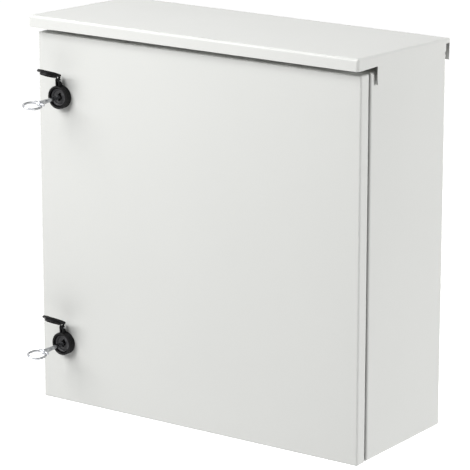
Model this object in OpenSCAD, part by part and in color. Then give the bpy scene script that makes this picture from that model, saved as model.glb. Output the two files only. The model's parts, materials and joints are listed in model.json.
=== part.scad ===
// Sheet-steel wall enclosure with a rain canopy, an overlapping hinged door,
// two quarter-turn locks with flip-up dust caps, and a galvanised mounting plate.
//
// Axes: X to the right seen from the front, Y to the rear, Z up.
// Origin: centre of the four wall-fixing holes, on the outside of the rear wall.

/* [Enclosure] */
// Width of the body and of the door
body_w = 500; // [400:10:800]
// Height of the body and of the door
body_h = 500; // [400:10:800]
// Depth from the door's face to the rear of the body
total_d = 200; // [150:5:300]
// Sheet thickness of the body
body_sheet = 1.5; // [1.2:0.1:2]
// Outside radius of the folded edges at the front and rear of the body
body_bend = 3; // [2.4:0.2:5]
// Outside radius of the body's four long corners
body_corner = 4; // [3:0.5:8]

/* [Front frame of the body] */
// Distance from the side of the body to the outside of the raised sealing lip
lip_inset = 16; // [15:0.5:24]
// Height of the sealing lip in front of the return flange
lip_h = 12; // [10:0.5:14]
// Outside corner radius of the sealing lip
lip_r = 9; // [6:1:14]

/* [Door] */
// Sheet thickness of the door
door_sheet = 1.5; // [1.2:0.1:2]
// Depth of the door's folded edge
door_t = 16.5; // [15:0.5:20]
// Gap between the folded edge and the body
door_gap = 5.5; // [4.5:0.5:8]
// Outside bend radius of the door's edges
door_bend = 2.5; // [2.2:0.1:4]
// Width of the foamed seal strip
seal_w = 10; // [7:0.5:11]
// Gap left between the seal and the lip when the door is shut
seal_gap = 0.3; // [0.2:0.1:0.6]

/* [Door rails] */
// Width of a perforated stiffening rail
rail_w = 20; // [16:1:24]
// Height of a rail off the door
rail_h = 12; // [8:1:16]
// Sheet thickness of a rail
rail_sheet = 1.5; // [1:0.1:2]
// Distance from a rail's ends to the door's top and bottom edges
rail_end = 40; // [34:2:70]
// Distance from the hinge-side edge of the door to the middle of its rail
rail_hinge_in = 42; // [38:1:80]
// Distance from the lock axis to the middle of the lock-side rail
rail_lock_in = 32; // [30:1:60]
// Pitch of the holes along a rail
rail_pitch = 25; // [20:5:50]
// Radius of the holes along a rail
rail_hole_r = 3.25; // [2:0.25:4]

/* [Canopy] */
// Sheet thickness of the canopy
canopy_sheet = 1.5; // [1.2:0.1:2]
// Overhang in front of the door's face
canopy_over = 14; // [8:1:30]
// Overhang of each side beyond the body
canopy_side = 4.5; // [3.5:0.5:10]
// Overhang behind the body
canopy_rear = 3.5; // [3:0.5:8]
// Height of the canopy's front edge above the body
canopy_rise = 24; // [22:1:40]
// Fall of the canopy towards the rear, in degrees
canopy_tilt = 2.2; // [0:0.2:3]
// Depth of the lip along the front
canopy_lip = 16; // [8:1:17]
// How far the side skirts reach below the top of the body
skirt_drop = 15.3; // [8:0.5:30]
// Distance from the body's front edge to the notch that clears the door
skirt_notch = 8; // [6:1:20]
// Length of the level part of the skirt, behind the notch
skirt_level = 41.5; // [20:0.5:60]
// Distance from the skirt's rear end to the rear of the body
skirt_rear = 8; // [5:1:15]
// Depth of the closed strip under the canopy's top at the skirt's rear end
skirt_neck = 6; // [5:0.5:9]
// Depth of the rear flange below the canopy's rear edge
canopy_hook = 28; // [20:1:40]
// Outside bend radius of the canopy
canopy_bend = 3.5; // [2.4:0.1:5]
// Distance from the side of the body to the canopy's fixings
canopy_fix_in = 60; // [40:5:90]
// Distance from the body's front and rear to the canopy's fixings
canopy_fix_end = 34; // [28:1:44]

/* [Wall fixing] */
// Distance from the body's side to the wall-fixing holes
wall_in = 25; // [22:1:26]
// Radius of the wall-fixing holes
wall_r = 4.25; // [3.5:0.25:5]

/* [Mounting plate] */
// Thickness of the mounting plate
plate_t = 2.5; // [2:0.5:3]
// Gap from the edge of the mounting plate to the outside of the body
plate_in = 35; // [33:1:60]
// Depth of the plate's folded sides
plate_fold = 12; // [8:1:14]
// Height of the collars that carry the plate
plate_stand = 18; // [16:1:30]
// Distance from the plate's edge to its fixing studs
plate_stud_in = 20; // [16:1:40]
// Corner radius of the plate's folds
plate_bend = 3.5; // [3.2:0.1:5]

/* [Gland plate] */
// Width of the cable opening in the bottom
gland_w = 340; // [200:10:340]
// Depth of the cable opening in the bottom
gland_d = 90; // [60:5:100]
// Border of the gland plate around the opening
gland_border = 22; // [20:1:26]
// Thickness of the gland plate
gland_t = 2; // [1.5:0.5:3]
// Thickness of the gland plate's flat seal
gland_seal_t = 2.5; // [1.5:0.5:4]

/* [Hinges] */
// Distance from the hinge axis to the side of the body
hinge_in = 5.5; // [5.5:0.1:6]
// Distance from the hinge axis to the front of the body
hinge_out = 11; // [10.8:0.1:11.2]
// Distance from the middle of each hinge to the end of the door
hinge_end = 70; // [60:5:150]
// Radius of the hinge pin
pin_r = 2; // [1.5:0.1:2.2]
// Radius of the hinge knuckles
knuckle_r = 3.5; // [3.3:0.1:3.7]
// Length of the body's knuckle
knuckle_h = 20; // [16:1:30]
// Length of each door knuckle
door_knuckle_h = 12; // [8:1:20]
// Running clearance between pins and bores
run = 0.05; // [0.02:0.01:0.1]

/* [Locks] */
// Distance from the door's edge to the lock axis
lock_in = 38; // [38:0.5:44]
// Distance from the door's top and bottom edges to the locks
lock_end = 82; // [70:1:150]
// Radius of the lock's threaded barrel
barrel_r = 11; // [10.5:0.1:11.5]
// Distance across the flats of the barrel
barrel_flats = 20; // [18:0.5:21]
// Radius of the lock's head
head_r = 12; // [11.8:0.1:12.4]
// Height of the lock's head over the door
head_h = 7.6; // [6:0.2:8.2]
// Radius of the turning insert
insert_r = 9; // [8:0.25:9.5]
// Length of the cam from its axis to its tip
cam_len = 32; // [28:1:34]
// Width of the cam
cam_w = 16; // [13:1:18]
// Thickness of the cam
cam_t = 3; // [2:0.5:4]
// Gap between the cam and the return flange it closes on
cam_gap = 0.5; // [0.4:0.1:1]

/* [Dust caps] */
// Outside radius of the dust cap's collar
collar_r = 15.5; // [15:0.1:17]
// Height of the collar over the door
collar_h = 10.5; // [9.5:0.1:12]
// Radius of the flap
flap_r = 16; // [15:0.25:18]
// Thickness of the flap
flap_t = 2; // [1.4:0.2:2.6]
// Height of the flap's hinge above the lock axis
flap_up = 22.5; // [22:0.25:24]
// Distance of the flap's hinge from the door's face
flap_out = 7; // [6.5:0.25:7.5]
// Angle of the upper flap above level, as it stands open
flap_rest_upper = 22; // [0:1:60]
// Angle of the lower flap above level, as it stands open
flap_rest_lower = 28; // [0:1:60]

/* [Keys] */
// Radius of the key's hollow shank
shank_r = 2.7; // [2.5:0.1:2.9]
// Distance from the door's face to the key's shoulder
shank_out = 47; // [40:1:55]
// Depth of the shank inside the insert
shank_in = 12; // [10:1:13]
// Droop of the loose key, in degrees
key_droop = 1.5; // [0:0.5:5]
// Roll of the key and of its socket, clockwise from the front, in degrees
key_roll = 12; // [0:1:20]
// Radius of the key's round bow at the middle of its section
bow_r = 10; // [8:0.5:11]
// Length of the straight sides of the bow
bow_len = 5; // [3:1:14]
// Radius of the bow's section
bow_wire = 1.5; // [1.2:0.1:1.8]

/* [Hidden] */
$fn = 48;

// how far a cutting shape runs past the face that it cuts
past = 1;
paint = [0.85, 0.85, 0.83];
zinc = [0.75, 0.76, 0.78];
black = [0.10, 0.10, 0.10];

// depths, from the rear wall forwards
face_y = -total_d;
door_in_y = face_y + door_sheet;
front_y = face_y + door_t + door_gap;
lip_y = front_y - lip_h;
body_d = -front_y;
body_top = body_h / 2;
body_floor = -body_h / 2 + body_sheet;
mouth_in = lip_inset + body_sheet;

// hinge axis and the two hinge heights
hinge_x = body_w / 2 - hinge_in;
hinge_y = front_y - hinge_out;
hinge_z = body_h / 2 - hinge_end;
knuckle_gap = 0.3;
leaf_t = 1.5;
leaf_h = 36;
arm_t = 1.5;

// locks
lock_x = -body_w / 2 + lock_in;
lock_z = body_h / 2 - lock_end;
lock_seat = 0.3;
foot_t = 1.5;
washer_t = 1;
washer_r = 14;

// ---------------------------------------------------------------- shapes

// rectangle with round corners, centred
module round_rect(w, h, r) {
    square([w - 2 * r, h], center = true);
    square([w, h - 2 * r], center = true);
    for (x = [-1, 1], y = [-1, 1])
        translate([x * (w / 2 - r), y * (h / 2 - r)]) circle(r);
}

// rectangle from x = 0 to x = d, centred on y, with its two corner pairs rounded apart
module end_rect(d, h, r_start, r_end) {
    translate([r_start, -h / 2]) square([d - r_start - r_end, h]);
    translate([0, -h / 2 + r_start]) square([r_start + r_end, h - 2 * r_start]);
    translate([d - r_end - r_start, -h / 2 + r_end]) square([r_end + r_start, h - 2 * r_end]);
    for (s = [-1, 1]) {
        if (r_start > 0) translate([r_start, s * (h / 2 - r_start)]) circle(r_start);
        if (r_end > 0) translate([d - r_end, s * (h / 2 - r_end)]) circle(r_end);
    }
}

// folded block: w wide, d deep from y = 0, h high; edges at y = 0 and y = d rounded apart
module fold_block(w, d, h, r_corner, r_front, r_back) {
    intersection() {
        translate([0, d, 0]) rotate([90, 0, 0]) linear_extrude(d) round_rect(w, h, r_corner);
        rotate([90, 0, 90]) linear_extrude(w + 2 * past, center = true)
            end_rect(d, h, r_front, r_back);
        linear_extrude(h + 2 * past, center = true) rotate(90) mirror([0, 1])
            end_rect(d, w, r_front, r_back);
    }
}

// frame of sheet: a round-cornered outline that runs along Y with its middle removed
module ring_along_y(w, h, r, t, y0, y1) {
    translate([0, y1, 0]) rotate([90, 0, 0]) linear_extrude(y1 - y0) difference() {
        round_rect(w, h, r);
        round_rect(w - 2 * t, h - 2 * t, r - t);
    }
}

// sheet strip in section: straight legs joined by bends; a positive turn goes to the left
module strip(legs, turns, t, r_in, i = 0) {
    square([legs[i], t]);
    if (i < len(turns)) {
        side = turns[i] > 0 ? 1 : -1;
        centre = turns[i] > 0 ? t + r_in : -r_in;
        reach = 3 * (t + r_in);
        translate([legs[i], centre]) {
            intersection() {
                difference() {
                    circle(r_in + t);
                    circle(r_in);
                }
                rotate(side > 0 ? -90 : 90 + turns[i])
                    polygon([[0, 0], [reach, 0], [reach * cos(abs(turns[i]) / 2),
                             reach * sin(abs(turns[i]) / 2)] * 1.5,
                             [reach * cos(abs(turns[i])), reach * sin(abs(turns[i]))]]);
            }
            rotate(turns[i]) translate([0, -centre]) strip(legs, turns, t, r_in, i + 1);
        }
    }
}

// rod along +Z between two heights
module rod(r, z0, z1) { translate([0, 0, z0]) cylinder(r = r, h = z1 - z0); }

// round washer or tube between two heights
module tube(r_out, r_in, z0, z1) {
    difference() {
        rod(r_out, z0, z1);
        rod(r_in, z0 - past, z1 + past);
    }
}

// hexagon nut with a flange, seated at z = 0; m is the thread size
module flange_nut(m) {
    difference() {
        union() {
            rod(m * 1.1, 0, m * 0.2);
            translate([0, 0, m * 0.1]) cylinder(r = m * 0.96, h = m * 0.9, $fn = 6);
        }
        rod(m / 2 + run, -past, m + past);
    }
}

// children at the four corners of a rectangle
module at_corners(dx, dy) { for (x = [-1, 1], y = [-1, 1]) translate([x * dx, y * dy]) children(); }

// local frame on a plane that faces forwards: x right, y up, z out of the door
module facing_front(p) { translate(p) rotate([90, 0, 0]) children(); }

// ---------------------------------------------------------------- body

module canopy_fix_places() {
    for (x = [-1, 1], y = [front_y + canopy_fix_end, -canopy_fix_end])
        translate([x * (body_w / 2 - canopy_fix_in), y, 0]) children();
}

canopy_stud_r = 3;
canopy_hole_r = canopy_stud_r + 0.3;

gland_y = -body_d / 2;
gland_corner = 8;
gland_stud_r = 2.5;
gland_hole_r = gland_stud_r + 0.25;
gland_stud_in = 9;

module gland_stud_places() {
    for (x = [-1, 0, 1], y = [-1, 1])
        translate([x * (gland_w / 2 + gland_border - gland_stud_in) * (x == 0 ? 0 : 1),
                   gland_y + y * (gland_d / 2 + gland_border - gland_stud_in), 0]) children();
}

module body_shell() {
    color(paint) difference() {
        union() {
            difference() {
                translate([0, front_y, 0])
                    fold_block(body_w, body_d, body_h, body_corner, body_bend, body_bend);
                translate([0, front_y + body_sheet, 0])
                    fold_block(body_w - 2 * body_sheet, body_d - 2 * body_sheet,
                               body_h - 2 * body_sheet, body_corner - body_sheet,
                               body_bend - body_sheet, body_bend - body_sheet);
                translate([0, front_y + body_sheet + past, 0]) rotate([90, 0, 0])
                    linear_extrude(body_sheet + 2 * past)
                        round_rect(body_w - 2 * mouth_in, body_h - 2 * mouth_in, lip_r - body_sheet);
            }
            ring_along_y(body_w - 2 * lip_inset, body_h - 2 * lip_inset, lip_r, body_sheet,
                         lip_y, front_y + body_sheet);
        }
        rotate([90, 0, 0]) at_corners(body_w / 2 - wall_in, body_h / 2 - wall_in)
            rod(wall_r, -past, body_sheet + past);
        canopy_fix_places() rod(canopy_hole_r, body_top - body_sheet - past, body_top + past);
        translate([0, gland_y, -body_h / 2 - past]) linear_extrude(body_sheet + 2 * past)
            round_rect(gland_w, gland_d, gland_corner);
    }
}

// ---------------------------------------------------------------- canopy

canopy_w = body_w + 2 * canopy_side;
canopy_d = total_d + canopy_over + canopy_rear;
canopy_front_y = face_y - canopy_over;
canopy_front_z = body_top + canopy_rise;
canopy_back_z = canopy_front_z - canopy_d * sin(canopy_tilt);
canopy_depth = canopy_rise + skirt_drop + canopy_hook;

// frame of the canopy's top: its front edge is at the origin and its top face at z = 0
module on_canopy() {
    translate([0, canopy_front_y, canopy_front_z]) rotate([-canopy_tilt, 0, 0]) children();
}

// tray open at the bottom, with round edges all round its top
module canopy_block(inset) {
    on_canopy() translate([0, canopy_d / 2, -inset]) rotate([-90, 0, 0])
        fold_block(canopy_w - 2 * inset, canopy_depth, canopy_d - 2 * inset,
                   canopy_bend - inset, canopy_bend - inset, 0);
}

// side view of what is left of the tray: lip, notch, level skirt, taper, neck and rear flange
module canopy_outline() {
    notch_y = front_y + skirt_notch;
    level_y = notch_y + skirt_level;
    neck_z = canopy_back_z - skirt_neck;
    rear_gap = 0.6;
    high = canopy_front_z + past;
    polygon([
        [canopy_front_y - 2 * past, high],
        [canopy_front_y - 2 * past, canopy_front_z - canopy_lip],
        [notch_y, canopy_front_z - canopy_lip],
        [notch_y, body_top - skirt_drop],
        [level_y, body_top - skirt_drop],
        [-skirt_rear, body_top],
        [-skirt_rear, neck_z],
        [rear_gap, neck_z],
        [rear_gap, canopy_back_z - canopy_hook],
        [canopy_rear + 2 * past, canopy_back_z - canopy_hook],
        [canopy_rear + 2 * past, high]
    ]);
}

module canopy() {
    color(paint) intersection() {
        difference() {
            canopy_block(0);
            canopy_block(canopy_sheet);
        }
        rotate([90, 0, 90]) linear_extrude(canopy_w + 2 * past, center = true) canopy_outline();
    }
}

canopy_washer_t = 2;
canopy_collar_r = 8;
canopy_stud_end = 14;

module canopy_studs() {
    color(zinc) intersection() {
        canopy_fix_places() {
            rod(canopy_collar_r, body_top + canopy_washer_t, canopy_front_z);
            rod(canopy_stud_r, body_top - canopy_stud_end, body_top + canopy_washer_t + past);
        }
        on_canopy() translate([-canopy_w / 2, 0, -canopy_sheet - canopy_depth])
            cube([canopy_w, canopy_d, canopy_depth]);
    }
}

module canopy_washers() {
    color(black) canopy_fix_places()
        tube(canopy_collar_r, canopy_hole_r, body_top, body_top + canopy_washer_t);
}

module canopy_nuts() {
    color(zinc) canopy_fix_places() translate([0, 0, body_top - body_sheet]) mirror([0, 0, 1])
        flange_nut(2 * canopy_stud_r);
}

// ---------------------------------------------------------------- mounting plate

plate_y = -body_sheet - plate_stand;
plate_w = body_w - 2 * plate_in;
plate_h = body_h - 2 * plate_in;
plate_stud_r = 4;
plate_stud_end = 12;
plate_collar_r = 7;

module plate_stud_places() {
    rotate([90, 0, 0]) at_corners(plate_w / 2 - plate_stud_in, plate_h / 2 - plate_stud_in) children();
}

module mounting_plate() {
    leg = plate_fold - plate_bend;
    color(zinc) difference() {
        translate([-plate_w / 2, plate_y + plate_fold - plate_t, -plate_h / 2])
            linear_extrude(plate_h) rotate(-90)
                strip([leg, plate_w - 2 * plate_bend, leg], [90, 90], plate_t, plate_bend - plate_t);
        plate_stud_places() rod(plate_stud_r + 0.5, 0, plate_stand + plate_t + 2 * past);
    }
}

module plate_studs() {
    color(zinc) plate_stud_places() {
        rod(plate_collar_r, body_sheet, -plate_y);
        rod(plate_stud_r, -plate_y - past, -plate_y + plate_t + plate_stud_end);
    }
}

module plate_nuts() {
    color(zinc) plate_stud_places() translate([0, 0, -plate_y + plate_t])
        flange_nut(2 * plate_stud_r);
}

// ---------------------------------------------------------------- gland plate

gland_stud_end = 8;

module gland_outline() {
    difference() {
        translate([0, gland_y])
            round_rect(gland_w + 2 * gland_border, gland_d + 2 * gland_border, gland_corner);
        gland_stud_places() circle(gland_hole_r);
    }
}

module gland_plate() {
    color(paint) translate([0, 0, body_floor + gland_seal_t]) linear_extrude(gland_t) gland_outline();
}

module gland_seal() {
    color(black) translate([0, 0, body_floor]) linear_extrude(gland_seal_t) difference() {
        gland_outline();
        translate([0, gland_y]) round_rect(gland_w, gland_d, gland_corner);
    }
}

module gland_studs() {
    color(zinc) gland_stud_places()
        rod(gland_stud_r, body_floor, body_floor + gland_seal_t + gland_t + gland_stud_end);
}

module gland_nuts() {
    color(zinc) gland_stud_places() translate([0, 0, body_floor + gland_seal_t + gland_t])
        flange_nut(2 * gland_stud_r);
}

// ---------------------------------------------------------------- earth studs

earth_r = 4;
earth_len = 20;
earth_in = 40;
earth_up = 36;
earth_nut_z = 3;

// the body's earth stud stands on the hinge-side wall, the door's on the back of the door
module at_body_earth() {
    translate([body_w / 2 - body_sheet, -body_d / 2, -body_h / 2 + earth_in]) rotate([0, -90, 0])
        children();
}

module at_door_earth() {
    translate([body_w / 2 - rail_hinge_in - earth_up, door_in_y, -body_h / 2 + earth_in])
        rotate([-90, 0, 0]) children();
}

module earth_bolt() {
    rod(1.6 * earth_r, 0, earth_nut_z);
    rod(earth_r, earth_nut_z - past, earth_len);
}

module earth_stud() { color(zinc) at_body_earth() earth_bolt(); }

module earth_nuts() {
    color(zinc) at_body_earth() translate([0, 0, earth_nut_z]) flange_nut(2 * earth_r);
}

module door_earth_stud() { color(zinc) at_door_earth() earth_bolt(); }

module door_earth_nuts() {
    color(zinc) at_door_earth() translate([0, 0, earth_nut_z]) flange_nut(2 * earth_r);
}

// ---------------------------------------------------------------- door

module lock_places() { for (s = [-1, 1]) facing_front([lock_x, face_y, s * lock_z]) children(); }

// double-flatted round, as the barrel and its hole in the door
module barrel_outline(play) {
    intersection() {
        circle(barrel_r + play);
        square([barrel_flats + 2 * play, 3 * barrel_r], center = true);
    }
}

module door_panel() {
    color(paint) difference() {
        translate([0, face_y, 0]) fold_block(body_w, door_t, body_h, door_bend, door_bend, 0);
        translate([0, door_in_y, 0])
            fold_block(body_w - 2 * door_sheet, door_t, body_h - 2 * door_sheet,
                       door_bend - door_sheet, door_bend - door_sheet, 0);
        lock_places() translate([0, 0, -door_sheet - past]) linear_extrude(door_sheet + 2 * past)
            barrel_outline(lock_seat);
    }
}

module door_seal() {
    spread = (seal_w - body_sheet) / 2;
    color(black)
        ring_along_y(body_w - 2 * (lip_inset - spread), body_h - 2 * (lip_inset - spread),
                     lip_r + spread, seal_w, door_in_y, lip_y - seal_gap);
}

// perforated rail: a channel whose legs stand on the door
module rail(x) {
    bend = rail_sheet + 1;
    leg = rail_h - bend;
    rail_len = body_h - 2 * rail_end;
    holes = floor((rail_len / 2 - rail_pitch / 2) / rail_pitch);
    difference() {
        translate([x - rail_w / 2, door_in_y, -rail_len / 2]) linear_extrude(rail_len)
            rotate(90) mirror([0, 1])
                strip([leg, rail_w - 2 * bend, leg], [90, 90], rail_sheet, bend - rail_sheet);
        for (i = [-holes:holes])
            facing_front([x, door_in_y, i * rail_pitch]) rod(rail_hole_r, -rail_h - past, 0);
    }
}

module door_rails() {
    color(paint) {
        rail(lock_x + rail_lock_in);
        rail(body_w / 2 - rail_hinge_in);
    }
}

// ---------------------------------------------------------------- hinges

module hinge_places() { for (s = [-1, 1]) translate([hinge_x, hinge_y, s * hinge_z]) children(); }

module body_hinge_leaves() {
    lip_x = -(lip_inset - hinge_in);
    arm_y = lip_y - hinge_y;
    color(zinc) hinge_places() difference() {
        union() {
            rod(knuckle_r, -knuckle_h / 2, knuckle_h / 2);
            translate([lip_x, arm_y, -knuckle_h / 2]) cube([-lip_x, arm_t, knuckle_h]);
            translate([lip_x, arm_y, -leaf_h / 2]) cube([leaf_t, lip_h, leaf_h]);
        }
        rod(pin_r + run, -knuckle_h, knuckle_h);
    }
}

door_leaf_h = knuckle_h + 2 * (door_knuckle_h + knuckle_gap);

module door_hinge_leaves() {
    base_y = door_in_y - hinge_y;
    edge = hinge_in - door_bend;
    color(zinc) hinge_places() difference() {
        union() {
            translate([-knuckle_r, base_y, -door_leaf_h / 2])
                cube([knuckle_r + edge, leaf_t, door_leaf_h]);
            for (s = [-1, 1]) translate([0, 0, s * (door_leaf_h - door_knuckle_h) / 2]) {
                rod(knuckle_r, -door_knuckle_h / 2, door_knuckle_h / 2);
                translate([-leaf_t, base_y, -door_knuckle_h / 2])
                    cube([2 * leaf_t, -base_y, door_knuckle_h]);
            }
        }
        rod(pin_r + run, -door_leaf_h, door_leaf_h);
    }
}

module hinge_pins() {
    head_h = 1.8;
    head_gap = 0.1;
    color(zinc) hinge_places() {
        rod(pin_r, -door_leaf_h / 2 - 1, door_leaf_h / 2 + head_gap + head_h / 2);
        rod(knuckle_r - 0.4, door_leaf_h / 2 + head_gap, door_leaf_h / 2 + head_gap + head_h);
    }
}

// ---------------------------------------------------------------- locks

// all lock parts: x right, y up, z out of the door; z = 0 is the door's face
module at_lock(s) { facing_front([lock_x, face_y, s * lock_z]) children(); }

socket_r = 3.9;
socket_slot = 5.6;
socket_slot_w = 3;
socket_depth = 14;
insert_face = 5;
insert_shaft_r = 7;
square_drive = 8;
cam_front = -(front_y + body_sheet + cam_gap - face_y);
cam_play = 0.3;
centre_pin_r = 1;
screw_r = 3;

module lock_housing(s) {
    rim = head_r - insert_r;
    color(black) at_lock(s) difference() {
        union() {
            rotate_extrude() polygon([
                [0, foot_t], [head_r, foot_t], [head_r, head_h - 0.8],
                [head_r - 0.8, head_h], [0, head_h]
            ]);
            translate([0, 0, cam_front + cam_play]) linear_extrude(foot_t - cam_front)
                barrel_outline(0);
        }
        rod(insert_r + run, insert_face - 2, head_h + past);
        rotate_extrude() polygon([
            [0, head_h + 0.01], [insert_r + rim * 0.55, head_h + 0.01],
            [insert_r + run, insert_face + 0.4], [0, insert_face + 0.4]
        ]);
        rod(insert_shaft_r + run, cam_front - past, head_h);
    }
}

module lock_washer(s) {
    color(black) at_lock(s)
        tube(washer_r, barrel_r + lock_seat, -door_sheet - washer_t, -door_sheet);
}

module lock_nut(s) {
    nut_r = 14.6;
    nut_t = 5;
    back = -door_sheet - washer_t - nut_t;
    color(zinc) at_lock(s) difference() {
        translate([0, 0, back]) cylinder(r = nut_r, h = nut_t, $fn = 6);
        rod(barrel_r + run, back - past, 0);
    }
}

module insert(s) {
    color(black) at_lock(s) {
        difference() {
            union() {
                rod(insert_r, insert_face - 2 + run, insert_face);
                rod(insert_shaft_r, cam_front, insert_face - 1);
                translate([-square_drive / 2, -square_drive / 2, cam_front - cam_t])
                    cube([square_drive, square_drive, cam_t + past]);
            }
            rod(socket_r, insert_face - socket_depth, insert_face + past);
            rotate(-key_roll) translate([-socket_slot_w / 2, -socket_slot, insert_face - socket_depth])
                cube([socket_slot_w, 2 * socket_slot, socket_depth + past]);
            rod(screw_r + run, cam_front - cam_t - past, insert_face - socket_depth - 2);
        }
        rod(centre_pin_r, insert_face - socket_depth - past, insert_face - 1);
    }
}

// the cam hangs down when the lock is open, and turns behind the body's return flange
module cam(s) {
    hole = square_drive + 2 * run;
    color(zinc) at_lock(s) translate([0, 0, cam_front - cam_t]) linear_extrude(cam_t) difference() {
        union() {
            circle(cam_w / 2);
            translate([-cam_w / 2, -cam_len + cam_w / 2]) square([cam_w, cam_len - cam_w / 2]);
            translate([0, -cam_len + cam_w / 2]) circle(cam_w / 2);
        }
        square(hole, center = true);
    }
}

module cam_screw(s) {
    head_t = 4;
    disc_t = 1.6;
    color(zinc) at_lock(s) translate([0, 0, cam_front - cam_t]) mirror([0, 0, 1]) {
        rod(6.5, 0, disc_t);
        translate([0, 0, disc_t]) cylinder(r = 5.77, h = head_t, $fn = 6);
        rod(screw_r, -(cam_t + 6), past);
    }
}

// ---------------------------------------------------------------- dust caps

ear_gap = 2.8;
ear_t = 1.6;
ear_r = 2.3;
flap_pin_r = 1;
groove_w = 1.1;
groove_d = 0.6;

// collar with grooves round it and two ears for the flap; the lock's head clamps its foot
module cap_collar(s) {
    bore = head_r + lock_seat;
    step = 2.6;
    color(black) at_lock(s) {
        difference() {
            rotate_extrude() polygon([
                [barrel_r + lock_seat, 0], [collar_r, 0], [collar_r, collar_h - 1],
                [collar_r - 1, collar_h], [bore + 0.8, collar_h], [bore, collar_h - 0.8],
                [bore, foot_t], [barrel_r + lock_seat, foot_t]
            ]);
            for (i = [0:2]) translate([0, 0, 1.4 + i * step])
                tube(collar_r + past, collar_r - groove_d, 0, groove_w);
        }
        for (x = [-1, 1]) difference() {
            translate([x * (ear_gap + ear_t) / 2, 0, 0]) rotate([90, 0, 90])
                linear_extrude(ear_t, center = true) {
                    polygon([[collar_r - 1.5, 0.6], [flap_up + 1, flap_out - ear_r * 0.9],
                             [flap_up + 1, flap_out + ear_r * 0.9], [collar_r - 1.5, collar_h - 1.4]]);
                    translate([flap_up, flap_out]) circle(ear_r);
                }
            translate([0, flap_up, flap_out]) rotate([0, 90, 0])
                rod(flap_pin_r + run, -ear_gap - ear_t, ear_gap + ear_t);
        }
    }
}

// flap frame: its hinge at the origin along x, its length along z and its outside along y
module on_flap(s, angle) {
    at_lock(s) translate([0, flap_up, flap_out]) rotate([-angle, 0, 0]) children();
}

module flap(s, angle) {
    plate_v = collar_h - flap_out + 0.4;
    plug_r = head_r - 0.4;
    plug_t = 3.2;
    tab_w = 9;
    tab_len = 6;
    tongue_w = ear_gap - 0.5;
    color(black) on_flap(s, angle) difference() {
        union() {
            translate([0, plate_v, flap_up]) rotate([-90, 0, 0]) {
                rod(flap_r, 0, flap_t);
                tube(plug_r, plug_r - 2, -plug_t, past / 2);
            }
            translate([-tab_w / 2, plate_v + flap_t / 2, flap_up + flap_r - 2])
                cube([tab_w, flap_t / 2, tab_len]);
            translate([-tongue_w / 2, plate_v, 0]) cube([tongue_w, flap_t, flap_up - flap_r + 2]);
            translate([-tongue_w / 2, 0, -ear_r + 0.3]) cube([tongue_w, plate_v + flap_t, ear_r]);
            rotate([0, 90, 0]) rod(ear_r - 0.1, -tongue_w / 2, tongue_w / 2);
        }
        rotate([0, 90, 0]) rod(flap_pin_r + run, -ear_gap, ear_gap);
    }
}

module flap_pin(s) {
    half = ear_gap / 2 + ear_t + 0.4;
    color(zinc) at_lock(s) translate([0, flap_up, flap_out]) rotate([0, 90, 0])
        rod(flap_pin_r, -half, half);
}

// ---------------------------------------------------------------- keys

// the loose key droops about the middle of the length that is in the socket
module on_key(s) {
    at_lock(s) translate([0, 0, insert_face - shank_in / 2]) rotate([key_droop, 0, 0]) children();
}

module bow_arc(angle) {
    rotate_extrude(angle = angle) translate([bow_r, 0]) circle(bow_wire, $fn = 24);
}

// hollow double-bit key: shank, shoulder, cross bar and an oval bow
module key(s) {
    root_z = -shank_in / 2;
    shoulder_z = shank_out - insert_face + shank_in / 2;
    bit_t = 1.6;
    bit_r = 4.6;
    bit_len = 3;
    bore_r = 1.8;
    bar_r = 2.4;
    bar_len = 2 * (bow_r - 2);
    bow_z = shoulder_z + bar_r + bow_r;
    color(zinc) on_key(s) rotate(-key_roll) {
        difference() {
            union() {
                rod(shank_r, root_z, shoulder_z);
                translate([-bit_t / 2, -bit_r, root_z]) cube([bit_t, 2 * bit_r, bit_len]);
                translate([0, 0, shoulder_z - 14]) cylinder(r1 = shank_r, r2 = shank_r + 1, h = 14);
                translate([0, 0, shoulder_z]) rotate([0, 90, 0]) rod(bar_r, -bar_len / 2, bar_len / 2);
                rod(shank_r + 1, shoulder_z - 0.5, shoulder_z + bar_r);
            }
            rod(bore_r, root_z - past, root_z + shank_in + 2);
        }
        translate([0, 0, bow_z]) {
            rotate([90, 0, 0]) rotate(180) bow_arc(180);
            translate([0, 0, bow_len]) rotate([90, 0, 0]) bow_arc(180);
            for (x = [-1, 1]) translate([x * bow_r, 0, 0]) rod(bow_wire, 0, bow_len, $fn = 24);
        }
    }
}

// ---------------------------------------------------------------- assembly

body_shell();
canopy();
canopy_studs();
canopy_washers();
canopy_nuts();
mounting_plate();
plate_studs();
plate_nuts();
gland_plate();
gland_seal();
gland_studs();
gland_nuts();
body_hinge_leaves();
hinge_pins();
earth_stud();
earth_nuts();
door_panel();
door_seal();
door_rails();
door_hinge_leaves();
door_earth_stud();
door_earth_nuts();
lock_housing(1);  // upper_lock_housing
lock_washer(1);  // upper_lock_washer
lock_nut(1);  // upper_lock_nut
cap_collar(1);  // upper_cap_collar
flap(1, flap_rest_upper);  // upper_flap
flap_pin(1);  // upper_flap_pin
insert(1);  // upper_insert
cam(1);  // upper_cam
cam_screw(1);  // upper_cam_screw
key(1);  // upper_key
lock_housing(-1);  // lower_lock_housing
lock_washer(-1);  // lower_lock_washer
lock_nut(-1);  // lower_lock_nut
cap_collar(-1);  // lower_cap_collar
flap(-1, flap_rest_lower);  // lower_flap
flap_pin(-1);  // lower_flap_pin
insert(-1);  // lower_insert
cam(-1);  // lower_cam
cam_screw(-1);  // lower_cam_screw
key(-1);  // lower_key
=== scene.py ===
import json
import math

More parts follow.
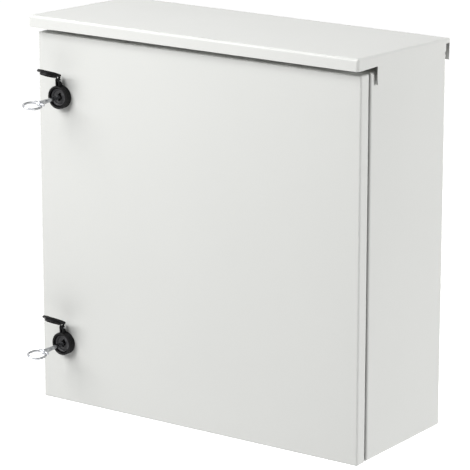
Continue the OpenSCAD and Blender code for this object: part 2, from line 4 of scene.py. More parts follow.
import bmesh
import bpy
import numpy as np
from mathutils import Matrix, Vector


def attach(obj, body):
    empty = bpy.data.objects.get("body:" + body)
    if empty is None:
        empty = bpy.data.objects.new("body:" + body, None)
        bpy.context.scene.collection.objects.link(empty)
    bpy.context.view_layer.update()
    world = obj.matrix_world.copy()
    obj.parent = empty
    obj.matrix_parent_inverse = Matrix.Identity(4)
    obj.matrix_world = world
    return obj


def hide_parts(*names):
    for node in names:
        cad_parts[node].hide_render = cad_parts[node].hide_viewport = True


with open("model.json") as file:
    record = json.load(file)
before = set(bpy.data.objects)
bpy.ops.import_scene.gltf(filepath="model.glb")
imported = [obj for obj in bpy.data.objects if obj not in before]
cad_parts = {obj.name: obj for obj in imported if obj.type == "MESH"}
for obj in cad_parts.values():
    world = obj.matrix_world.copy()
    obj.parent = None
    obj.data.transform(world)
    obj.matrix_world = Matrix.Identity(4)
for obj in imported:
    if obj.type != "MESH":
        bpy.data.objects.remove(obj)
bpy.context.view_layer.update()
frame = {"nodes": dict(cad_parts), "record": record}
nodes = frame["nodes"]
mm = 0.001


cameraSet = {
    "azimuth": 34.85,       # degrees to the right of the door's normal
    "elevation": 15.06,
    "distance": 3.741,      # metres from the target
    "target": (-0.0061, -0.1, -0.01),
    "lens": 218.7,          # mm
    "sensor": 36.0,
    "clip": (0.05, 50.0),
}

lightSet = {
    "floorHeight": -0.95,
    "floorHalf": 9.0,
    "floorColour": (0.7, 0.7, 0.7),
    "floorGlow": 0.9,
    "skyStrength": 0.18,
    "lamps": [              # name, place, aim, size, watts
        ("lampFront", (-1.0, -1.9, 1.35), (0.0, -0.2, 0.05), 1.5, 63.0),
        ("lampTop", (-0.1, -0.1, 2.6), (0.0, -0.1, 0.25), 1.4, 18.0),
        ("lampRight", (2.8, 0.75, 0.6), (0.25, -0.1, 0.0), 1.0, 50.0),
        ("lampBack", (-0.4, 2.8, -0.4), (0.0, 0.0, 0.0), 1.0, 50.0),
    ],
}


def makeCamera(values):
    a, e = math.radians(values["azimuth"]), math.radians(values["elevation"])
    back = Vector((math.sin(a) * math.cos(e), -math.cos(a) * math.cos(e), math.sin(e)))
    data = bpy.data.cameras.new("camera")
    data.lens = values["lens"]
    data.sensor_width = values["sensor"]
    data.clip_start, data.clip_end = values["clip"]
    camera = bpy.data.objects.new("camera", data)
    bpy.context.scene.collection.objects.link(camera)
    camera.location = Vector(values["target"]) + back * values["distance"]
    camera.rotation_mode = "QUATERNION"
    camera.rotation_quaternion = (-back).to_track_quat("-Z", "Y")
    bpy.context.scene.camera = camera


def seenRay(tree, x, y):
    # one where the ray comes from the camera, a mirror or glass
    path = tree.nodes.new("ShaderNodeLightPath")
    path.location = (x, y)
    first = tree.nodes.new("ShaderNodeMath")
    first.operation = "MAXIMUM"
    first.location = (x + 180, y)
    second = tree.nodes.new("ShaderNodeMath")
    second.operation = "MAXIMUM"
    second.location = (x + 360, y)
    tree.links.new(path.outputs["Is Camera Ray"], first.inputs[0])
    tree.links.new(path.outputs["Is Glossy Ray"], first.inputs[1])
    tree.links.new(first.outputs[0], second.inputs[0])
    tree.links.new(path.outputs["Is Transmission Ray"], second.inputs[1])
    return second.outputs[0]


def makeSky(values):
    # white to the camera and in mirrors, a weak even light on the object
    world = bpy.data.worlds.new("studioSky")
    world.use_nodes = True
    tree = world.node_tree
    tree.nodes.clear()
    plain = tree.nodes.new("ShaderNodeBackground")
    plain.inputs["Color"].default_value = (1, 1, 1, 1)
    plain.inputs["Strength"].default_value = values["skyStrength"]
    white = tree.nodes.new("ShaderNodeBackground")
    white.inputs["Color"].default_value = (1, 1, 1, 1)
    white.inputs["Strength"].default_value = 1.0
    mix = tree.nodes.new("ShaderNodeMixShader")
    out = tree.nodes.new("ShaderNodeOutputWorld")
    tree.links.new(seenRay(tree, -600, 200), mix.inputs[0])
    tree.links.new(plain.outputs[0], mix.inputs[1])
    tree.links.new(white.outputs[0], mix.inputs[2])
    tree.links.new(mix.outputs[0], out.inputs["Surface"])
    bpy.context.scene.world = world


def makeFloor(values):
    # a pale matt sheet that keeps the object's shadow and glows where it is seen
    half, z = values["floorHalf"], values["floorHeight"]
    corners = [(-half, -half, z), (half, -half, z), (half, half, z), (-half, half, z)]
    mesh = bpy.data.meshes.new("floor")
    mesh.from_pydata(corners, [], [(0, 1, 2, 3)])
    floor = bpy.data.objects.new("floor", mesh)
    bpy.context.scene.collection.objects.link(floor)
    material = bpy.data.materials.new("paleFloor")
    material.use_nodes = True
    tree = material.node_tree
    tree.nodes.clear()
    diffuse = tree.nodes.new("ShaderNodeBsdfDiffuse")
    diffuse.inputs["Color"].default_value = (*values["floorColour"], 1)
    glow = tree.nodes.new("ShaderNodeEmission")
    glow.inputs["Strength"].default_value = values["floorGlow"]
    both = tree.nodes.new("ShaderNodeAddShader")
    mix = tree.nodes.new("ShaderNodeMixShader")
    out = tree.nodes.new("ShaderNodeOutputMaterial")
    tree.links.new(diffuse.outputs[0], both.inputs[0])
    tree.links.new(glow.outputs[0], both.inputs[1])
    tree.links.new(seenRay(tree, -600, 200), mix.inputs[0])
    tree.links.new(diffuse.outputs[0], mix.inputs[1])
    tree.links.new(both.outputs[0], mix.inputs[2])
    tree.links.new(mix.outputs[0], out.inputs["Surface"])
    mesh.materials.append(material)


def makeLamps(values):
    for name, place, aim, size, watts in values["lamps"]:
        data = bpy.data.lights.new(name, "AREA")
        data.shape = "SQUARE"
        data.size = size
        data.energy = watts
        lamp = bpy.data.objects.new(name, data)
        bpy.context.scene.collection.objects.link(lamp)
        lamp.location = place
        lamp.rotation_mode = "QUATERNION"
        lamp.rotation_quaternion = (Vector(aim) - Vector(place)).to_track_quat("-Z", "Y")


bpy.context.scene.view_settings.view_transform = "Standard"
makeCamera(cameraSet)
makeSky(lightSet)
makeFloor(lightSet)
makeLamps(lightSet)
print("studio ready")


def newGroup(name, inputs, outputs):
    group = bpy.data.node_groups.new(name, "ShaderNodeTree")
    for label, kind, value in inputs:
        socket = group.interface.new_socket(name=label, in_out="INPUT", socket_type=kind)
        socket.default_value = value
    for label, kind in outputs:
        group.interface.new_socket(name=label, in_out="OUTPUT", socket_type=kind)
    start = group.nodes.new("NodeGroupInput")
    end = group.nodes.new("NodeGroupOutput")
    return group, start, end


def noiseNode(tree, scale, detail, rough=0.55):
    node = tree.nodes.new("ShaderNodeTexNoise")
    node.inputs["Scale"].default_value = scale
    node.inputs["Detail"].default_value = detail
    node.inputs["Roughness"].default_value = rough
    return node


def rangeNode(tree, fromLow, fromHigh, toLow, toHigh):
    node = tree.nodes.new("ShaderNodeMapRange")
    node.inputs["From Min"].default_value = fromLow
    node.inputs["From Max"].default_value = fromHigh
    node.inputs["To Min"].default_value = toLow
    node.inputs["To Max"].default_value = toHigh
    return node


def makeShadeGroup():
    # two tones blended by broad noise with a finer one on top; the mask comes out too
    group, start, end = newGroup(
        "shadeDrift",
        [("Light tone", "NodeSocketColor", (0.8, 0.8, 0.8, 1)),
         ("Dark tone", "NodeSocketColor", (0.7, 0.7, 0.7, 1)),
         ("Broad scale", "NodeSocketFloat", 5.0), ("Fine scale", "NodeSocketFloat", 60.0),
         ("Fine share", "NodeSocketFloat", 0.3)],
        [("Colour", "NodeSocketColor"), ("Mask", "NodeSocketFloat")])
    place = group.nodes.new("ShaderNodeTexCoord")
    broad = noiseNode(group, 5.0, 3.0)
    fine = noiseNode(group, 60.0, 4.0)
    blend = group.nodes.new("ShaderNodeMix")
    blend.data_type = "FLOAT"
    stretch = rangeNode(group, 0.32, 0.68, 0.0, 1.0)
    tone = group.nodes.new("ShaderNodeMix")
    tone.data_type = "RGBA"
    links = group.links
    links.new(place.outputs["Object"], broad.inputs["Vector"])
    links.new(place.outputs["Object"], fine.inputs["Vector"])
    links.new(start.outputs["Broad scale"], broad.inputs["Scale"])
    links.new(start.outputs["Fine scale"], fine.inputs["Scale"])
    links.new(start.outputs["Fine share"], blend.inputs[0])
    links.new(broad.outputs[0], blend.inputs[2])
    links.new(fine.outputs[0], blend.inputs[3])
    links.new(blend.outputs[0], stretch.inputs["Value"])
    links.new(stretch.outputs[0], tone.inputs[0])
    links.new(start.outputs["Light tone"], tone.inputs[6])
    links.new(start.outputs["Dark tone"], tone.inputs[7])
    links.new(tone.outputs[2], end.inputs["Colour"])
    links.new(stretch.outputs[0], end.inputs["Mask"])
    return group


def makeGrainGroup():
    # height of a fine grain: small noise with a share of round cells
    group, start, end = newGroup(
        "fineGrain",
        [("Scale", "NodeSocketFloat", 900.0), ("Cell scale", "NodeSocketFloat", 500.0),
         ("Cell share", "NodeSocketFloat", 0.3)],
        [("Height", "NodeSocketFloat")])
    place = group.nodes.new("ShaderNodeTexCoord")
    grain = noiseNode(group, 900.0, 2.0)
    cells = group.nodes.new("ShaderNodeTexVoronoi")
    cells.feature = "SMOOTH_F1"
    blend = group.nodes.new("ShaderNodeMix")
    blend.data_type = "FLOAT"
    links = group.links
    links.new(place.outputs["Object"], grain.inputs["Vector"])
    links.new(place.outputs["Object"], cells.inputs["Vector"])
    links.new(start.outputs["Scale"], grain.inputs["Scale"])
    links.new(start.outputs["Cell scale"], cells.inputs["Scale"])
    links.new(start.outputs["Cell share"], blend.inputs[0])
    links.new(grain.outputs[0], blend.inputs[2])
    links.new(cells.outputs["Distance"], blend.inputs[3])
    links.new(blend.outputs[0], end.inputs["Height"])
    return group


def makeEdgeGroup():
    # mask of sharp outer edges, broken up by noise, from the surface's pointiness
    group, start, end = newGroup(
        "edgeRub",
        [("Low", "NodeSocketFloat", 0.52), ("High", "NodeSocketFloat", 0.6),
         ("Scale", "NodeSocketFloat", 300.0), ("Amount", "NodeSocketFloat", 0.5)],
        [("Mask", "NodeSocketFloat")])
    place = group.nodes.new("ShaderNodeTexCoord")
    surface = group.nodes.new("ShaderNodeNewGeometry")
    patch = noiseNode(group, 300.0, 3.0)
    edge = rangeNode(group, 0.52, 0.6, 0.0, 1.0)
    product = group.nodes.new("ShaderNodeMath")
    product.operation = "MULTIPLY"
    scaled = group.nodes.new("ShaderNodeMath")
    scaled.operation = "MULTIPLY"
    links = group.links
    links.new(place.outputs["Object"], patch.inputs["Vector"])
    links.new(start.outputs["Scale"], patch.inputs["Scale"])
    links.new(surface.outputs["Pointiness"], edge.inputs["Value"])
    links.new(start.outputs["Low"], edge.inputs["From Min"])
    links.new(start.outputs["High"], edge.inputs["From Max"])
    links.new(edge.outputs[0], product.inputs[0])
    links.new(patch.outputs[0], product.inputs[1])
    links.new(product.outputs[0], scaled.inputs[0])
    links.new(start.outputs["Amount"], scaled.inputs[1])
    links.new(scaled.outputs[0], end.inputs["Mask"])
    return group


shadeDrift = makeShadeGroup()
fineGrain = makeGrainGroup()
edgeRub = makeEdgeGroup()


def placeGroup(tree, group, values):
    node = tree.nodes.new("ShaderNodeGroup")
    node.node_tree = group
    for label, value in values.items():
        node.inputs[label].default_value = value
    return node


def surfaceMaterial(name, values):
    # drifting tone, roughness that follows it, a bumped grain and rubbed edges
    material = bpy.data.materials.new(name)
    material.use_nodes = True
    tree = material.node_tree
    shader = tree.nodes["Principled BSDF"]
    shader.inputs["Metallic"].default_value = values.get("metal", 0.0)
    shader.inputs["Specular IOR Level"].default_value = values.get("specular", 0.5)
    links = tree.links
    tone = placeGroup(tree, shadeDrift, {
        "Light tone": (*values["light"], 1), "Dark tone": (*values["dark"], 1),
        "Broad scale": values["broadScale"], "Fine scale": values["fineScale"],
        "Fine share": values["fineShare"]})
    rough = rangeNode(tree, 0.0, 1.0, *values["rough"])
    links.new(tone.outputs["Mask"], rough.inputs["Value"])
    links.new(rough.outputs[0], shader.inputs["Roughness"])
    colour = tone.outputs["Colour"]
    if "rub" in values:
        rub = placeGroup(tree, edgeRub, values["rub"])
        worn = tree.nodes.new("ShaderNodeMix")
        worn.data_type = "RGBA"
        worn.inputs[7].default_value = (*values["rubTone"], 1)
        links.new(rub.outputs["Mask"], worn.inputs[0])
        links.new(colour, worn.inputs[6])
        colour = worn.outputs[2]
    links.new(colour, shader.inputs["Base Color"])
    grain = placeGroup(tree, fineGrain, values["grain"])
    bump = tree.nodes.new("ShaderNodeBump")
    bump.inputs["Strength"].default_value = values["bump"]
    bump.inputs["Distance"].default_value = values.get("bumpDepth", 0.0001)
    links.new(grain.outputs["Height"], bump.inputs["Height"])
    links.new(bump.outputs[0], shader.inputs["Normal"])
    return material


def spangledZinc(name, values):
    # zinc crystals: each cell has its own tone and gloss
    material = surfaceMaterial(name, values)
    tree = material.node_tree
    shader = tree.nodes["Principled BSDF"]
    place = tree.nodes.new("ShaderNodeTexCoord")
    cells = tree.nodes.new("ShaderNodeTexVoronoi")
    cells.inputs["Scale"].default_value = values["crystal"]
    cells.inputs["Randomness"].default_value = 1.0
    grey = tree.nodes.new("ShaderNodeSeparateColor")
    mix = tree.nodes.new("ShaderNodeMix")
    mix.data_type = "RGBA"
    mix.blend_type = "MULTIPLY"
    mix.inputs[0].default_value = values["crystalShare"]
    lift = rangeNode(tree, 0.0, 1.0, *values["crystalShade"])
    spread = rangeNode(tree, 0.0, 1.0, *values["rough"])
    old = shader.inputs["Base Color"].links[0].from_socket
    links = tree.links
    links.new(place.outputs["Object"], cells.inputs["Vector"])
    links.new(cells.outputs["Color"], grey.inputs[0])
    links.new(grey.outputs[0], lift.inputs["Value"])
    links.new(lift.outputs[0], mix.inputs[7])
    links.new(old, mix.inputs[6])
    links.new(mix.outputs[2], shader.inputs["Base Color"])
    links.new(grey.outputs[1], spread.inputs["Value"])
    links.new(spread.outputs[0], shader.inputs["Roughness"])
    return material


def castWithPaintedRing(name, values):
    # the housing's inner bevel gets a painted highlight: a lighter band of radius round each lock's axis,
    # broken up by noise
    material = surfaceMaterial(name, values)
    tree = material.node_tree
    links = tree.links
    shader = tree.nodes["Principled BSDF"]
    place = tree.nodes.new("ShaderNodeTexCoord")
    split = tree.nodes.new("ShaderNodeSeparateXYZ")
    links.new(place.outputs["Object"], split.inputs[0])

    def maths(kind, a, b=None):
        node = tree.nodes.new("ShaderNodeMath")
        node.operation = kind
        for socket, value in zip(node.inputs, (a, b)):
            if isinstance(value, float):
                socket.default_value = value
            elif value is not None:
                links.new(value, socket)
        return node.outputs[0]

    x = maths("ADD", split.outputs["X"], values["axis"][0])
    z = maths("SUBTRACT", maths("ABSOLUTE", split.outputs["Z"]), values["axis"][1])
    radius = maths("SQRT", maths("ADD", maths("MULTIPLY", x, x), maths("MULTIPLY", z, z)))
    fromMiddle = maths("ABSOLUTE", maths("SUBTRACT", radius, values["band"][0]))
    mask = rangeNode(tree, values["band"][1] * values["bandCore"], values["band"][1], 1.0, 0.0)
    links.new(fromMiddle, mask.inputs["Value"])
    patch = noiseNode(tree, values["patchScale"], 3.0)
    links.new(place.outputs["Object"], patch.inputs["Vector"])
    spread = rangeNode(tree, 0.3, 0.7, values["patchLow"], 1.0)
    links.new(patch.outputs[0], spread.inputs["Value"])
    amount = maths("MULTIPLY", mask.outputs[0], spread.outputs[0])
    # painted highlight: the band's lighter tone stands in for light caught by the bevel
    paintedHighlight = tree.nodes.new("ShaderNodeMix")
    paintedHighlight.data_type = "RGBA"
    paintedHighlight.inputs[7].default_value = (*values["paintedRingTone"], 1)
    links.new(amount, paintedHighlight.inputs[0])
    links.new(shader.inputs["Base Color"].links[0].from_socket, paintedHighlight.inputs[6])
    links.new(paintedHighlight.outputs[2], shader.inputs["Base Color"])
    return material


paintSet = {
    "light": (0.715, 0.72, 0.698), "dark": (0.69, 0.696, 0.674),
    "broadScale": 3.0, "fineScale": 420.0, "fineShare": 0.35,
    "rough": (0.42, 0.52), "specular": 0.45, "bump": 0.35, "bumpDepth": 0.00012,
    "grain": {"Scale": 1100.0, "Cell scale": 700.0, "Cell share": 0.35},
}
platedSet = {
    "light": (0.66, 0.68, 0.70), "dark": (0.52, 0.54, 0.57),
    "broadScale": 40.0, "fineScale": 700.0, "fineShare": 0.4,
    "rough": (0.24, 0.42), "metal": 1.0, "bump": 0.2,
    "grain": {"Scale": 1800.0, "Cell scale": 900.0, "Cell share": 0.2},
    "rub": {"Low": 0.52, "High": 0.62, "Scale": 400.0, "Amount": 0.5}, "rubTone": (0.82, 0.83, 0.85),
}
galvanisedSet = {
    "light": (0.62, 0.64, 0.66), "dark": (0.5, 0.53, 0.55),
    "broadScale": 12.0, "fineScale": 300.0, "fineShare": 0.35,
    "rough": (0.32, 0.5), "metal": 1.0, "bump": 0.15,
    "crystal": 75.0, "crystalShare": 0.5, "crystalShade": (0.55, 1.15),
    "grain": {"Scale": 700.0, "Cell scale": 300.0, "Cell share": 0.2},
}
foamSet = {
    "light": (0.032, 0.032, 0.033), "dark": (0.018, 0.018, 0.019),
    "broadScale": 30.0, "fineScale": 900.0, "fineShare": 0.6,
    "rough": (0.75, 0.92), "specular": 0.3, "bump": 0.6, "bumpDepth": 0.0002,
    "grain": {"Scale": 1500.0, "Cell scale": 1200.0, "Cell share": 0.6},
}
moulded = {
    "light": (0.0075, 0.0075, 0.008), "dark": (0.0035, 0.0035, 0.0038),
    "broadScale": 60.0, "fineScale": 1500.0, "fineShare": 0.5,
    "rough": (0.4, 0.55), "specular": 0.16, "bump": 0.25, "bumpDepth": 0.00008,
    "grain": {"Scale": 2600.0, "Cell scale": 1600.0, "Cell share": 0.5},
    "rub": {"Low": 0.53, "High": 0.66, "Scale": 500.0, "Amount": 0.35}, "rubTone": (0.03, 0.03, 0.031),
}
castBlack = {
    "light": (0.010, 0.010, 0.0105), "dark": (0.005, 0.005, 0.0055),
    "broadScale": 90.0, "fineScale": 1200.0, "fineShare": 0.5,
    "rough": (0.32, 0.46), "specular": 0.2, "bump": 0.3, "bumpDepth": 0.00008,
    "grain": {"Scale": 2000.0, "Cell scale": 1300.0, "Cell share": 0.4},
    "rub": {"Low": 0.53, "High": 0.66, "Scale": 500.0, "Amount": 0.6}, "rubTone": (0.09, 0.09, 0.095),
    "axis": (0.212, 0.168),         # metres left of the middle, and above or below it
    "band": (0.0101, 0.0009),       # radius and half width of the painted highlight ring
    # the ring's tone is a painted highlight on the black cast
    "bandCore": 0.6, "paintedRingTone": (0.11, 0.11, 0.115), "patchScale": 350.0, "patchLow": 0.55,
}
castGrey = {
    "light": (0.016, 0.016, 0.017), "dark": (0.008, 0.008, 0.009),
    "broadScale": 120.0, "fineScale": 1500.0, "fineShare": 0.5,
    "rough": (0.3, 0.45), "metal": 0.3, "specular": 0.25, "bump": 0.3, "bumpDepth": 0.00008,
    "grain": {"Scale": 2200.0, "Cell scale": 1500.0, "Cell share": 0.4},
    "rub": {"Low": 0.53, "High": 0.64, "Scale": 500.0, "Amount": 0.7}, "rubTone": (0.14, 0.14, 0.145),
}
chromeSet = {
    "light": (0.68, 0.69, 0.71), "dark": (0.26, 0.27, 0.29),
    "broadScale": 210.0, "fineScale": 1400.0, "fineShare": 0.3,
    "rough": (0.12, 0.3), "metal": 1.0, "bump": 0.3, "bumpDepth": 0.0001,
    "grain": {"Scale": 900.0, "Cell scale": 500.0, "Cell share": 0.3},
}

finishes = {
    "paint": surfaceMaterial("greyPowderCoat", paintSet),
    "zinc_plated": surfaceMaterial("brightZincPlate", platedSet),
    "galvanised": spangledZinc("spangledZincSheet", galvanisedSet),
    "seal_rubber": surfaceMaterial("foamedSeal", foamSet),
    "black_plastic": surfaceMaterial("blackMoulding", moulded),
    "black_diecast": castWithPaintedRing("blackDieCast", castBlack),
    "dark_diecast": surfaceMaterial("greyDieCast", castGrey),
    "key_chrome": surfaceMaterial("keyChrome", chromeSet),
}
for part in frame["record"]["subparts"]:
    cadMesh = nodes[part["node"]].data
    cadMesh.materials.clear()
    cadMesh.materials.append(finishes[part["material_slot"]])


def gridFaces(rows, columns, closeRows, closeColumns):
    # quads between neighbours of a rows x columns grid, wrapped where asked
    i = np.arange(rows if closeRows else rows - 1)[:, None]
    j = np.arange(columns if closeColumns else columns - 1)[None, :]
    a = i * columns + j
    b = i * columns + (j + 1) % columns
    c = ((i + 1) % rows) * columns + (j + 1) % columns
    d = ((i + 1) % rows) * columns + j
    return np.stack([a, b, c, d], -1).reshape(-1, 4)


def roundedLine(points, radius, steps=5):
    # each inner corner of the line becomes an arc: the control curve a(1-t)^2 + 2c t(1-t) + b t^2
    points = np.asarray(points, float)
    t = np.linspace(0, 1, steps)[:, None]
    out = [points[:1]]
    for before, corner, after in zip(points[:-2], points[1:-1], points[2:]):
        reach = min(radius, 0.45 * np.linalg.norm(before - corner), 0.45 * np.linalg.norm(after - corner))
        a = corner + (before - corner) / np.linalg.norm(before - corner) * reach
        b = corner + (after - corner) / np.linalg.norm(after - corner) * reach
        out.append(a * (1 - t) ** 2 + 2 * corner * t * (1 - t) + b * t ** 2)
    out.append(points[-1:])
    return np.concatenate(out)


def turned(profile, segments=96, closed=False):
    # a profile of (radius, height) turned round z: x = r cos u, y = r sin u, z = h
    u = np.linspace(0, 2 * np.pi, segments, endpoint=False)[:, None]
    r, h = profile[:, 0][None, :], profile[:, 1][None, :]
    points = np.stack([r * np.cos(u), r * np.sin(u), h + 0 * u], -1)
    return points.reshape(-1, 3), gridFaces(segments, len(profile), True, closed)


def softBox(centre, half, power=0.22, rows=24, columns=48):
    # superellipsoid: signed powers of sine and cosine of two angles, close to a box for a small power
    v = np.linspace(-np.pi / 2, np.pi / 2, rows)[:, None]
    u = np.linspace(0, 2 * np.pi, columns, endpoint=False)[None, :]
    bend = lambda w: np.sign(w) * np.abs(w) ** power
    points = np.stack([bend(np.cos(v)) * bend(np.cos(u)), bend(np.cos(v)) * bend(np.sin(u)),
                       bend(np.sin(v)) + 0 * u], -1) * np.asarray(half) + np.asarray(centre)
    return points.reshape(-1, 3), gridFaces(rows, columns, False, True)


def plateBetween(outline, x0, x1, edge):
    # an outline in (y, z) carried from x0 to x1; its ends shrink by the edge's quarter circle
    # and close on the middle
    outline = np.asarray(outline, float)
    middle = outline.mean(0)
    t = np.linspace(0, np.pi / 2, 5)
    inwards = np.concatenate([edge * (1 - np.sin(t)), (edge * (1 - np.sin(t)))[::-1]])
    place = np.concatenate([x0 + edge * (1 - np.cos(t)), (x1 - edge * (1 - np.cos(t)))[::-1]])
    spoke = outline - middle
    size = np.linalg.norm(spoke, axis=1, keepdims=True)
    rings = middle + spoke[None] * (1 - inwards[:, None, None] / size[None])
    points = np.concatenate([np.broadcast_to(place[:, None, None], rings.shape[:2] + (1,)), rings], -1)
    cap = lambda x: np.broadcast_to(np.array([x, *middle]), (1, len(outline), 3))
    points = np.concatenate([cap(x0), points, cap(x1)])
    return points.reshape(-1, 3), gridFaces(len(points), len(outline), False, True)


def tubeAlong(path, side, radius, ring=20):
    # a round section carried along a closed flat path: p + r (cos u n + sin u s),
    # with n in the path's plane and s square to it
    along = np.roll(path, -1, 0) - np.roll(path, 1, 0)
    along /= np.linalg.norm(along, axis=1, keepdims=True)
    side = np.asarray(side, float)
    out = np.cross(along, side)
    u = np.linspace(0, 2 * np.pi, ring, endpoint=False)[None, :, None]
    points = path[:, None] + radius * (np.cos(u) * out[:, None] + np.sin(u) * side[None, None])
    return points.reshape(-1, 3), gridFaces(len(path), ring, True, True)


def joined(*parts):
    start, points, faces = 0, [], []
    for part in parts:
        points.append(part[0])
        faces.append(part[1] + start)
        start += len(part[0])
    return np.concatenate(points), np.concatenate(faces)


def moved(part, change):
    return change(part[0]), part[1]


def makePiece(name, part, material, body, replaced, crease=35):
    # points in metres; doubles merge, faces turn outwards, edges sharper than the crease stay sharp
    mesh = bpy.data.meshes.new(name)
    mesh.from_pydata(part[0].tolist(), [], part[1].tolist())
    work = bmesh.new()
    work.from_mesh(mesh)
    bmesh.ops.remove_doubles(work, verts=work.verts, dist=2e-6)
    bmesh.ops.dissolve_degenerate(work, edges=work.edges, dist=1e-6)
    bmesh.ops.recalc_face_normals(work, faces=work.faces)
    work.to_mesh(mesh)
    work.free()
    mesh.shade_smooth()
    mesh.set_sharp_from_angle(angle=math.radians(crease))
    mesh.materials.append(material)
    piece = bpy.data.objects.new(name, mesh)
    bpy.context.scene.collection.objects.link(piece)
    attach(piece, body)
    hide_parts(replaced)
    return piece


lockSet = {"x": -212.0, "z": 168.0, "face": -200.0}


def atLock(points, side):
    # lock frame (right, up, out of the door) in mm to the part's frame in metres
    return np.stack([lockSet["x"] + points[:, 0], lockSet["face"] - points[:, 2],
                     side * lockSet["z"] + points[:, 1]], -1) * mm


collarSet = {
    "bore": 12.3, "foot": 11.3, "footHeight": 1.5, "radius": 15.5, "height": 10.5,
    "lipEdge": 1.1, "boreEdge": 0.8, "roundness": 0.35,
    "groovePlaces": (1.95, 4.55, 7.15), "grooveHalf": 0.62, "grooveDeep": 0.6,
    "pivot": (22.5, 7.0), "earRadius": 2.3, "earInner": 1.4, "earOuter": 3.0, "earEdge": 0.35,
    "earSink": 1.5, "earFoot": (0.7, 1.6),      # into the ring, and in from its two ends
}


def collarShape(values):
    r, h = values["radius"], values["height"]
    outer = [(values["foot"], 0.0), (r - 0.1, 0.0), (r, 0.3)]
    for z in values["groovePlaces"]:
        half, deep = values["grooveHalf"], values["grooveDeep"]
        outer += [(r, z - half), (r - deep, z - 0.5 * half), (r - deep, z + 0.5 * half), (r, z + half)]
    lip, rim = values["lipEdge"], values["boreEdge"]
    outer += [(r, h - lip), (r - lip, h), (values["bore"] + rim, h), (values["bore"], h - rim),
              (values["bore"], values["footHeight"]), (values["foot"], values["footHeight"]),
              (values["foot"], 0.0)]
    ring = turned(roundedLine(outer, values["roundness"], 4), 160)
    up, out = values["pivot"]
    tip = values["earRadius"]
    t = np.linspace(-0.62 * np.pi, 0.62 * np.pi, 28)
    arc = np.stack([up + tip * np.cos(t), out + tip * np.sin(t)], -1)
    inside, (low, high) = r - values["earSink"], values["earFoot"]
    foot = np.array([[inside, h - high], [inside, low]])
    outline = np.concatenate([arc, foot])
    ears = [plateBetween(outline, s * values["earInner"], s * values["earOuter"], s * values["earEdge"])
            for s in (-1, 1)]
    return joined(ring, *ears)


flapSet = {
    "pivot": (22.5, 7.0), "tilt": {"upper": 22.0, "lower": 28.0},
    "base": 3.9, "thick": 2.0, "centre": 22.5, "radius": 16.0,
    "rim": 1.7, "sink": 0.35, "plugRadius": 11.6, "plugWall": 2.0, "plugDeep": 3.2,
    "tabHalf": 4.5, "tabThick": 0.5, "tabReach": 4.5, "tabEnd": 42.5, "ridgePlaces": (1.2, 2.4),
    "tongueHalf": 1.15, "tongueMiddle": 4.2, "tongueReach": 5.6,
    "heelMiddle": -0.85, "heelReach": 1.15, "knuckle": 2.2,
}


def flapShape(values, tilt):
    base, top, r = values["base"], values["base"] + values["thick"], values["radius"]
    plug, low = values["plugRadius"], values["base"] - values["plugDeep"]
    line = [(0, top - values["sink"]), (r - values["rim"] - 0.5, top - values["sink"]),
            (r - values["rim"], top), (r - 0.1, top), (r, top - 0.6), (r, base + 0.3), (r - 0.3, base),
            (plug, base), (plug, low + 0.1),
            (plug - 0.5, low), (plug - values["plugWall"] + 0.3, low), (plug - values["plugWall"], low + 0.3),
            (plug - values["plugWall"], base), (0, base)]
    flat = lambda p: np.stack([p[:, 0], p[:, 2], values["centre"] - p[:, 1]], -1)
    disc = moved(turned(roundedLine(line, 0.45, 5), 128), flat)
    thick, reach, end = values["tabThick"], values["tabReach"], values["tabEnd"]
    tab = softBox((0, top - thick, end - reach), (values["tabHalf"], thick, reach), 0.3)
    ridgeHalf = (values["tabHalf"] - 0.8, 0.42, 0.3)
    ridges = [softBox((0, top - 0.42, end - k), ridgeHalf, 0.5, 12, 24) for k in values["ridgePlaces"]]
    tongue = softBox((0, base + 1.0, values["tongueMiddle"]),
                     (values["tongueHalf"], 1.0, values["tongueReach"]), 0.2)
    heel = softBox((0, top / 2, values["heelMiddle"]),
                   (values["tongueHalf"], top / 2, values["heelReach"]), 0.3)
    knob = roundedLine([(0, -values["tongueHalf"]), (values["knuckle"], -values["tongueHalf"]),
                        (values["knuckle"], values["tongueHalf"]), (0, values["tongueHalf"])], 0.25)
    barrel = moved(turned(knob, 48), lambda p: np.stack([p[:, 2], p[:, 0], p[:, 1]], -1))
    shape = joined(disc, tab, *ridges, tongue, heel, barrel)
    a = math.radians(tilt)
    up, out = values["pivot"]
    turn = lambda p: np.stack([p[:, 0], up + p[:, 1] * math.cos(a) + p[:, 2] * math.sin(a),
                               out - p[:, 1] * math.sin(a) + p[:, 2] * math.cos(a)], -1)
    return moved(shape, turn)


keySet = {
    "start": -1.0, "droop": 1.5, "roll": 12.0, "root": -6.0, "shoulder": 48.0,
    "shank": 2.7, "bore": 1.8, "boreEnd": 8.0,
    "cone": 34.0, "hub": 3.7, "bar": 2.4, "barHalf": 8.0, "bow": 10.0, "bowStraight": 5.0, "wire": 1.5,
    "bitHalf": (0.8, 4.6, 1.5),
}


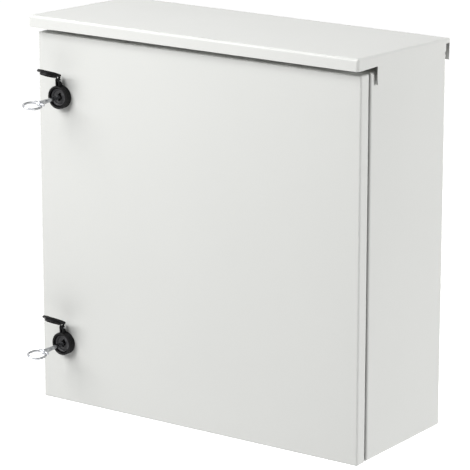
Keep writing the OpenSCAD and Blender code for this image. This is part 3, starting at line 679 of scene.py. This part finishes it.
def keyShape(values):
    root, top = values["root"], values["shoulder"]
    line = [(0, values["boreEnd"]), (values["bore"], values["boreEnd"] - 1.2), (values["bore"], root),
            (values["shank"], root), (values["shank"], values["cone"]), (values["hub"] - 0.15, top - 1.2),
            (values["hub"], top - 0.3),
            (values["hub"], top + 1.6), (values["hub"] - 0.9, top + 2.4), (0, top + 2.4)]
    shank = turned(roundedLine(line, 0.5, 5), 64)
    half, r = values["barHalf"], values["bar"]
    line = [(0, -half), (r * 0.62, -half), (r * 0.85, -half * 0.6), (r, -half * 0.25), (r, half * 0.25),
            (r * 0.85, half * 0.6), (r * 0.62, half), (0, half)]
    across = lambda p: np.stack([p[:, 2], p[:, 0], p[:, 1] + top], -1)
    bar = moved(turned(roundedLine(line, 0.9, 6), 40), across)      # swells towards its middle
    bow, long = values["bow"], values["bowStraight"]
    low = top + r + bow
    t = np.linspace(np.pi, 2 * np.pi, 40)
    near = np.stack([bow * np.cos(t), 0 * t, low + bow * np.sin(t)], -1)
    far = np.stack([-bow * np.cos(t), 0 * t, low + long - bow * np.sin(t)], -1)
    right = np.linspace([bow, 0, low], [bow, 0, low + long], 6)[1:-1]
    left = np.linspace([-bow, 0, low + long], [-bow, 0, low], 6)[1:-1]
    ring = tubeAlong(np.concatenate([near, right, far, left]), (0, 1, 0), values["wire"])
    bits = softBox((0, 0, root + values["bitHalf"][2]), values["bitHalf"], 0.15)
    a, b = math.radians(values["roll"]), math.radians(values["droop"])
    roll = lambda p: np.stack([p[:, 0] * math.cos(a) + p[:, 1] * math.sin(a),
                               -p[:, 0] * math.sin(a) + p[:, 1] * math.cos(a), p[:, 2]], -1)
    droop = lambda p: np.stack([p[:, 0], p[:, 1] * math.cos(b) - p[:, 2] * math.sin(b),
                                values["start"] + p[:, 1] * math.sin(b) + p[:, 2] * math.cos(b)], -1)
    return moved(moved(joined(shank, bar, ring, bits), roll), droop)


for lockName, side in (("upper", 1), ("lower", -1)):
    toDoor = lambda p: atLock(p, side)
    tilt = flapSet["tilt"][lockName]
    makePiece(lockName + "CollarRibbed", moved(collarShape(collarSet), toDoor),
              finishes["black_plastic"], "door", lockName + "_cap_collar")
    makePiece(lockName + "FlapMoulded", moved(flapShape(flapSet, tilt), toDoor),
              finishes["black_plastic"], lockName + "_flap", lockName + "_flap")
    makePiece(lockName + "KeyCast", moved(keyShape(keySet), toDoor),
              finishes["key_chrome"], lockName + "_key", lockName + "_key")
print("locks dressed")


sealSet = {"half": 233.25, "corner": 8.25, "width": 10.0, "height": 8.2, "back": -198.5}


def roundedSquare(half, corner, steps=14):
    # centre line of a square with round corners, and the outward direction at each point
    straight = half - corner
    t = np.linspace(0, np.pi / 2, steps)
    points, outwards = [], []
    for k, (sx, sz) in enumerate(((1, 1), (-1, 1), (-1, -1), (1, -1))):
        angle = t + k * np.pi / 2
        way = np.stack([np.cos(angle), np.sin(angle)], -1)
        points.append(np.array([sx, sz]) * straight + corner * way)
        outwards.append(way)
    return np.concatenate(points), np.concatenate(outwards)


def sealShape(values):
    # a foamed strip: height 8.2 (1 - |u|^3.2)^0.45 over its width, with a shallow valley along the middle
    line, way = roundedSquare(values["half"], values["corner"])
    u = np.linspace(-1, 1, 33)
    rise = values["height"] * (1 - np.abs(u) ** 3.2) ** 0.45 * (1 - 0.05 * np.exp(-(u / 0.35) ** 2))
    across = np.concatenate([u * values["width"] / 2, [0.0]])
    rise = np.concatenate([rise, [0.0]])
    points = np.stack([line[:, None, 0] + way[:, None, 0] * across,
                       values["back"] + rise[None] + 0 * line[:, :1],
                       line[:, None, 1] + way[:, None, 1] * across], -1)
    return points.reshape(-1, 3) * mm, gridFaces(len(line), len(across), True, True)


makePiece("sealFoamed", sealShape(sealSet), finishes["seal_rubber"], "door", "door_seal", 60)
print("seal laid")
